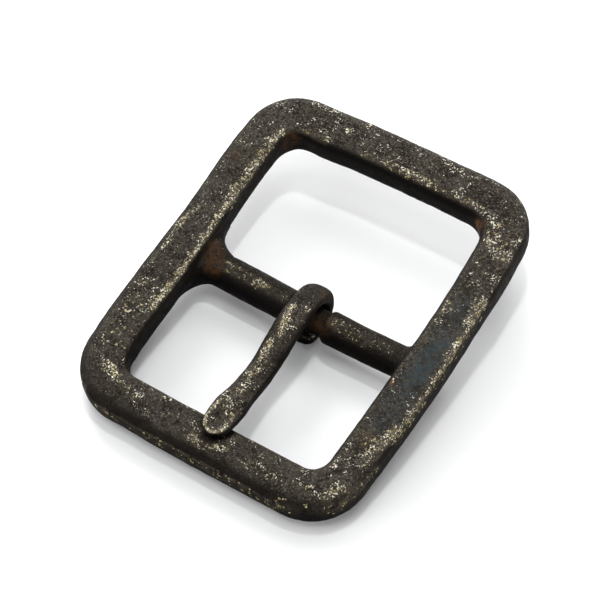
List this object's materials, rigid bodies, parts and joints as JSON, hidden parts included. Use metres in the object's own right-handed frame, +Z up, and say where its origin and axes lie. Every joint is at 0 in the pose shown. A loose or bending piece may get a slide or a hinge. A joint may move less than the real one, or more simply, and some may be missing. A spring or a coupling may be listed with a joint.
{
  "type": "centre-bar belt buckle",
  "caption": "Rounded rectangular strap buckle with a round centre bar and a curved tongue hinged on it, whose tip rests in a seat in the near end.",
  "frame": {"origin": "on the table that the buckle lies on, under the middle of the frame's length and width", "axes": "+X along the centre bar, +Y from the tongue's tip towards the far end, +Z up; the frame's far end is lifted about 6.7 degrees, because it leans on the tongue's eye"},
  "size_m": [0.0546, 0.0698, 0.0141],
  "materials": {
    "frame_metal": "near-black aged patina with fine pale brassy wear along the edges",
    "tongue_metal": "near-black aged patina, worn to pale brassy specks along its crest"
  },
  "bodies": {
    "frame": {"frame": "frame_metal"},
    "tongue": {"tongue": "tongue_metal"}
  },
  "joints": [
    {"name": "tongue_hinge", "type": "hinge", "parent": "frame", "child": "tongue", "pos_m": [0, -0.00114, 0.00478], "axis": [-1, 0, 0], "range_deg": [0, 155]}
  ]
}
